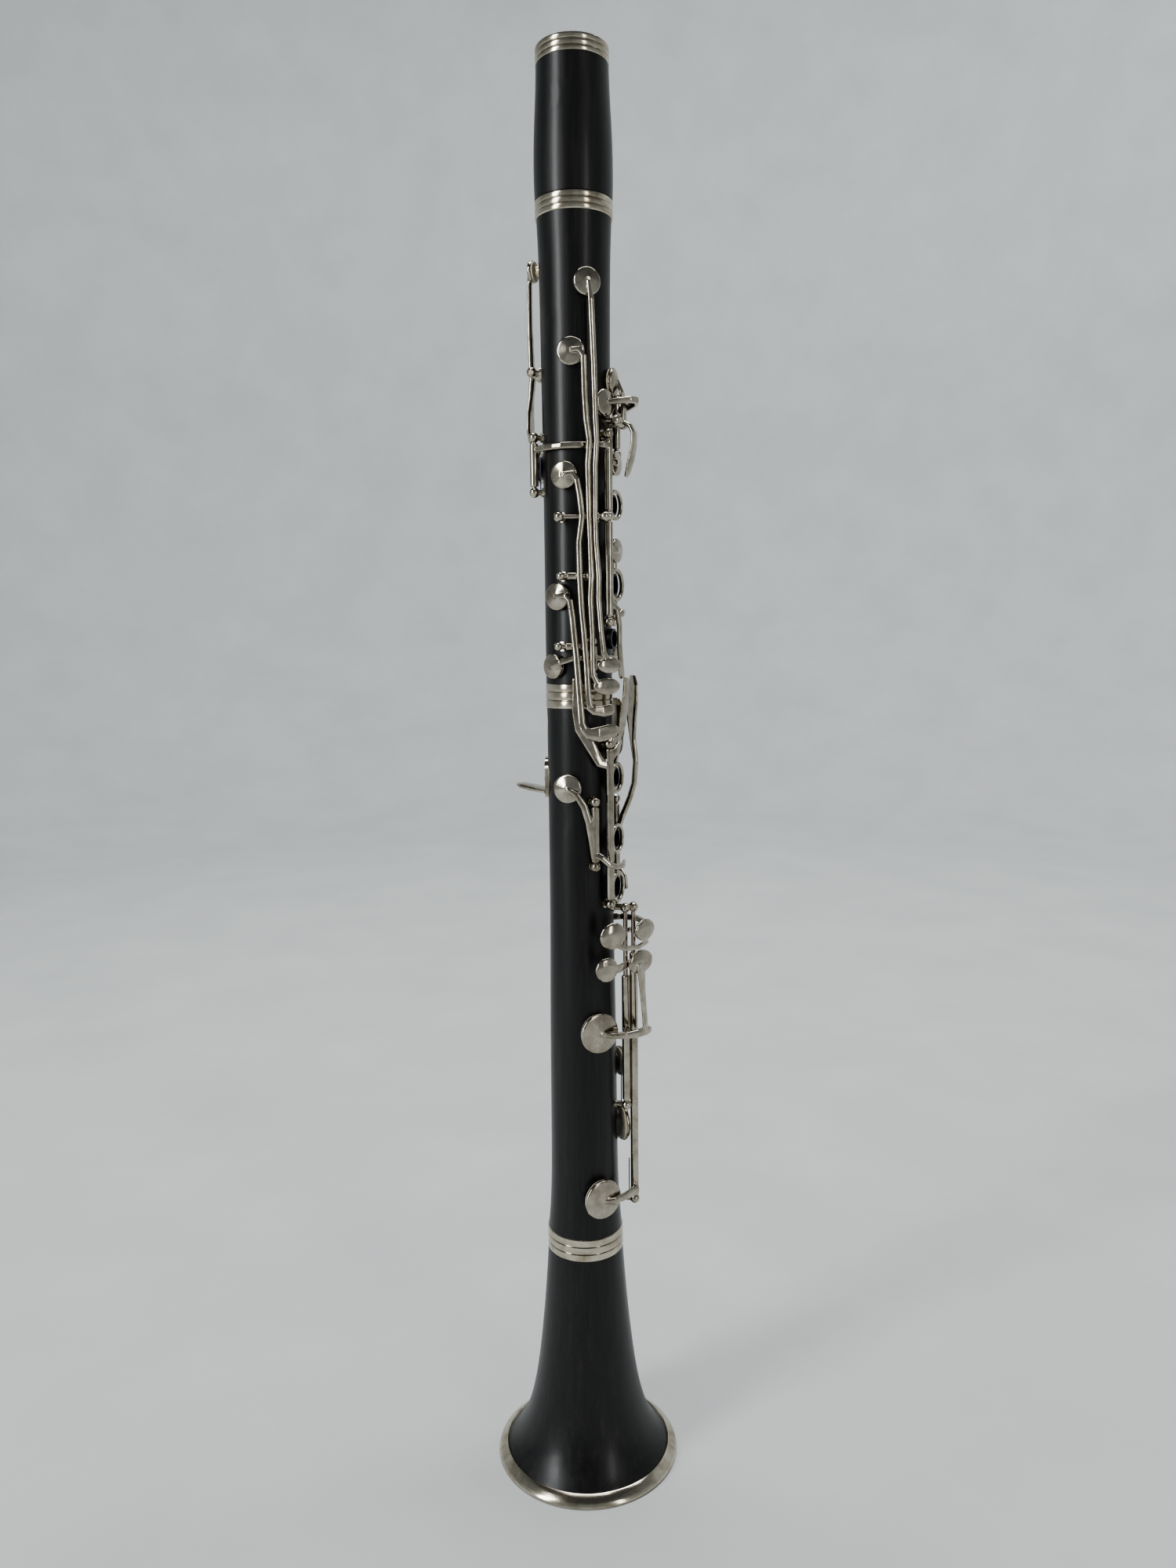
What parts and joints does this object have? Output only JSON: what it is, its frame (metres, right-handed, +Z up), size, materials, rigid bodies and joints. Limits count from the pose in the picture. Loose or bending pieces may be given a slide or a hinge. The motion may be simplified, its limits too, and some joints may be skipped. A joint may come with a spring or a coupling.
{
  "type": "clarinet",
  "caption": "Upright clarinet without mouthpiece: black wood body in four joints, plated ring and lever keywork on hinge rods, flared bell as its base.",
  "frame": {"origin": "centre of the bell's resting face, on the bore's axis", "axes": "+Z up along the bore; finger holes face -Y; the player's right side is -X; the thumb rest is at +Y"},
  "size_m": [0.0804, 0.0804, 0.5915],
  "materials": {
    "blackwood": "oiled black hardwood, satin",
    "key_plate": "aged nickel-silver plate, lightly tarnished",
    "ring_plate": "turned plated rings with worn edges",
    "rod_steel": "bare steel hinge rods",
    "blued_steel": "heat-blued spring steel",
    "tube_brass": "turned tube inserts",
    "cork": "greased sheet cork",
    "pad_skin": "fine membrane over felt"
  },
  "bodies": {
    "lower_joint": {"bell_tenon_cork": "cork", "lower_joint": "blackwood", "lower_posts": "key_plate", "lower_rods": "rod_steel", "lower_springs": "blued_steel", "socket_ring": "ring_plate", "thumb_rest": "key_plate", "thumb_rest_screws": "key_plate"},
    "upper_joint": {"middle_tenon_cork": "cork", "register_vent": "tube_brass", "thumb_tube": "tube_brass", "upper_joint": "blackwood", "upper_posts": "key_plate", "upper_rods": "rod_steel", "upper_springs": "blued_steel", "upper_tenon_cork": "cork"},
    "barrel": {"barrel": "blackwood", "barrel_bottom_ring": "ring_plate", "barrel_top_ring": "ring_plate"},
    "bell": {"bell": "blackwood", "bell_rim_ring": "ring_plate", "bell_socket_ring": "ring_plate"},
    "c_sharp_key": {"c_sharp_key": "key_plate", "c_sharp_key_pad": "pad_skin"},
    "left_e_lever": {"left_e_lever": "key_plate"},
    "left_f_sharp_lever": {"left_f_sharp_lever": "key_plate"},
    "lower_ring_key": {"lower_ring_key": "key_plate", "lower_ring_key_pad": "pad_skin"},
    "lower_sliver_key": {"lower_sliver_key": "key_plate", "lower_sliver_key_pad": "pad_skin"},
    "register_key": {"register_key": "key_plate", "register_key_pad": "pad_skin"},
    "right_a_flat_key": {"right_a_flat_key": "key_plate", "right_a_flat_key_pad": "pad_skin"},
    "right_e_key": {"right_e_key": "key_plate", "right_e_key_pad": "pad_skin"},
    "right_f_key": {"right_f_key": "key_plate", "right_f_key_pad": "pad_skin"},
    "right_f_sharp_key": {"right_f_sharp_key": "key_plate", "right_f_sharp_key_pad": "pad_skin"},
    "side_key_1": {"side_key_1": "key_plate", "side_key_1_pad": "pad_skin"},
    "side_key_2": {"side_key_2": "key_plate", "side_key_2_pad": "pad_skin"},
    "side_key_3": {"side_key_3": "key_plate", "side_key_3_pad": "pad_skin"},
    "side_key_4": {"side_key_4": "key_plate", "side_key_4_pad": "pad_skin"},
    "throat_a_key": {"throat_a_key": "key_plate", "throat_a_key_pad": "pad_skin"},
    "throat_g_sharp_key": {"throat_g_sharp_key": "key_plate", "throat_g_sharp_key_pad": "pad_skin"},
    "thumb_ring_key": {"thumb_ring_key": "key_plate"},
    "upper_ring_key_1": {"upper_ring_key_1": "key_plate", "upper_ring_key_1_pad": "pad_skin"},
    "upper_ring_key_2": {"upper_ring_key_2": "key_plate", "upper_ring_key_2_pad": "pad_skin"},
    "upper_sliver_key": {"upper_sliver_key": "key_plate", "upper_sliver_key_pad": "pad_skin"}
  },
  "joints": [
    {"name": "upper_joint_slide", "type": "slide", "parent": "lower_joint", "child": "upper_joint", "axis": [0, 0, 1], "range_m": [0, 0.022]},
    {"name": "barrel_slide", "type": "slide", "parent": "upper_joint", "child": "barrel", "axis": [0, 0, 1], "range_m": [0, 0.018]},
    {"name": "bell_slide", "type": "slide", "parent": "lower_joint", "child": "bell", "axis": [0, 0, -1], "range_m": [0, 0.018]},
    {"name": "register_key_hinge", "type": "hinge", "parent": "upper_joint", "child": "register_key", "pos_m": [0, 0.017, 0.471], "axis": [-1, 0, 0], "range_deg": [0, 4], "stiffness_Nm_per_rad": 0.05, "springref_deg": -17.19},
    {"name": "thumb_ring_key_hinge", "type": "hinge", "parent": "upper_joint", "child": "thumb_ring_key", "pos_m": [-0.00875, 0.01516, 0.434], "axis": [0, 0, -1], "range_deg": [0, 3.5], "stiffness_Nm_per_rad": 0.05, "springref_deg": -17.19},
    {"name": "throat_a_key_hinge", "type": "hinge", "parent": "upper_joint", "child": "throat_a_key", "pos_m": [0, -0.0184, 0.45], "axis": [1, 0, 0], "range_deg": [0, 4], "stiffness_Nm_per_rad": 0.05, "springref_deg": -17.19},
    {"name": "throat_g_sharp_key_hinge", "type": "hinge", "parent": "upper_joint", "child": "throat_g_sharp_key", "pos_m": [0.01125, -0.01341, 0.4505], "axis": [0, 0, 1], "range_deg": [0, 6], "stiffness_Nm_per_rad": 0.05, "springref_deg": -17.19},
    {"name": "upper_ring_key_1_hinge", "type": "hinge", "parent": "upper_joint", "child": "upper_ring_key_1", "pos_m": [-0.00758, -0.01589, 0.4287], "axis": [0, 0, 1], "range_deg": [0, 7], "stiffness_Nm_per_rad": 0.05, "springref_deg": -17.19},
    {"name": "upper_ring_key_2_hinge", "type": "hinge", "parent": "upper_joint", "child": "upper_ring_key_2", "pos_m": [-0.00758, -0.01589, 0.39195], "axis": [0, 0, 1], "range_deg": [0, 7], "stiffness_Nm_per_rad": 0.05, "springref_deg": -17.19},
    {"name": "side_key_1_hinge", "type": "hinge", "parent": "upper_joint", "child": "side_key_1", "pos_m": [-0.01315, -0.01219, 0.4123], "axis": [0.3256, -0.9455, 0], "range_deg": [0, 2.2], "stiffness_Nm_per_rad": 0.05, "springref_deg": -17.19},
    {"name": "side_key_2_hinge", "type": "hinge", "parent": "upper_joint", "child": "side_key_2", "pos_m": [-0.01404, -0.00959, 0.4123], "axis": [0.3256, -0.9455, 0], "range_deg": [0, 2.5], "stiffness_Nm_per_rad": 0.05, "springref_deg": -17.19},
    {"name": "side_key_3_hinge", "type": "hinge", "parent": "upper_joint", "child": "side_key_3", "pos_m": [-0.01525, -0.00393, 0.3892], "axis": [0.3256, -0.9455, 0], "range_deg": [0, 3], "stiffness_Nm_per_rad": 0.05, "springref_deg": -17.19},
    {"name": "side_key_4_hinge", "type": "hinge", "parent": "upper_joint", "child": "side_key_4", "pos_m": [-0.01569, -0.00265, 0.3614], "axis": [0.3256, -0.9455, 0], "range_deg": [0, 3.2], "stiffness_Nm_per_rad": 0.05, "springref_deg": -17.19},
    {"name": "c_sharp_key_hinge", "type": "hinge", "parent": "upper_joint", "child": "c_sharp_key", "pos_m": [-0.01226, -0.01029, 0.3566], "axis": [0, 0, 1], "range_deg": [0, 4.5], "stiffness_Nm_per_rad": 0.05, "springref_deg": -17.19},
    {"name": "upper_sliver_key_hinge", "type": "hinge", "parent": "upper_joint", "child": "upper_sliver_key", "pos_m": [0.01318, -0.01106, 0.385], "axis": [0, 0, -1], "range_deg": [0, 8], "stiffness_Nm_per_rad": 0.05, "springref_deg": -17.19},
    {"name": "lower_ring_key_hinge", "type": "hinge", "parent": "lower_joint", "child": "lower_ring_key", "pos_m": [-0.0079, -0.0155, 0.2882], "axis": [0, 0, 1], "range_deg": [0, 5], "stiffness_Nm_per_rad": 0.05, "springref_deg": -17.19},
    {"name": "lower_sliver_key_hinge", "type": "hinge", "parent": "lower_joint", "child": "lower_sliver_key", "pos_m": [-0.0136, -0.01101, 0.28475], "axis": [0, 0, 1], "range_deg": [0, 7], "stiffness_Nm_per_rad": 0.05, "springref_deg": -17.19},
    {"name": "left_e_lever_hinge", "type": "hinge", "parent": "lower_joint", "child": "left_e_lever", "pos_m": [0.01348, -0.01131, 0.278], "axis": [0, 0, -1], "range_deg": [0, 4]},
    {"name": "left_f_sharp_lever_hinge", "type": "hinge", "parent": "lower_joint", "child": "left_f_sharp_lever", "pos_m": [0.017, -0.00456, 0.278], "axis": [0, 0, -1], "range_deg": [0, 4]},
    {"name": "right_e_key_hinge", "type": "hinge", "parent": "lower_joint", "child": "right_e_key", "pos_m": [0.00309, -0.02198, 0.17745], "axis": [0, 0, -1], "range_deg": [0, 5], "stiffness_Nm_per_rad": 0.05, "springref_deg": -17.19},
    {"name": "right_f_key_hinge", "type": "hinge", "parent": "lower_joint", "child": "right_f_key", "pos_m": [0.01654, -0.00602, 0.197], "axis": [0, 0, -1], "range_deg": [0, 5], "stiffness_Nm_per_rad": 0.05, "springref_deg": -17.19},
    {"name": "right_f_sharp_key_hinge", "type": "hinge", "parent": "lower_joint", "child": "right_f_sharp_key", "pos_m": [0.0176, 0, 0.2065], "axis": [0, 0, -1], "range_deg": [0, 4], "stiffness_Nm_per_rad": 0.05, "springref_deg": -17.19},
    {"name": "right_a_flat_key_hinge", "type": "hinge", "parent": "lower_joint", "child": "right_a_flat_key", "pos_m": [0.00034, -0.0193, 0.1945], "axis": [0, 0, 1], "range_deg": [0, 7], "stiffness_Nm_per_rad": 0.05, "springref_deg": -17.19}
  ],
  "couplings": [
    {"joint": "left_e_lever_hinge", "follows": "right_e_key_hinge", "ratio": 0.8},
    {"joint": "left_f_sharp_lever_hinge", "follows": "right_f_sharp_key_hinge", "ratio": 1}
  ]
}
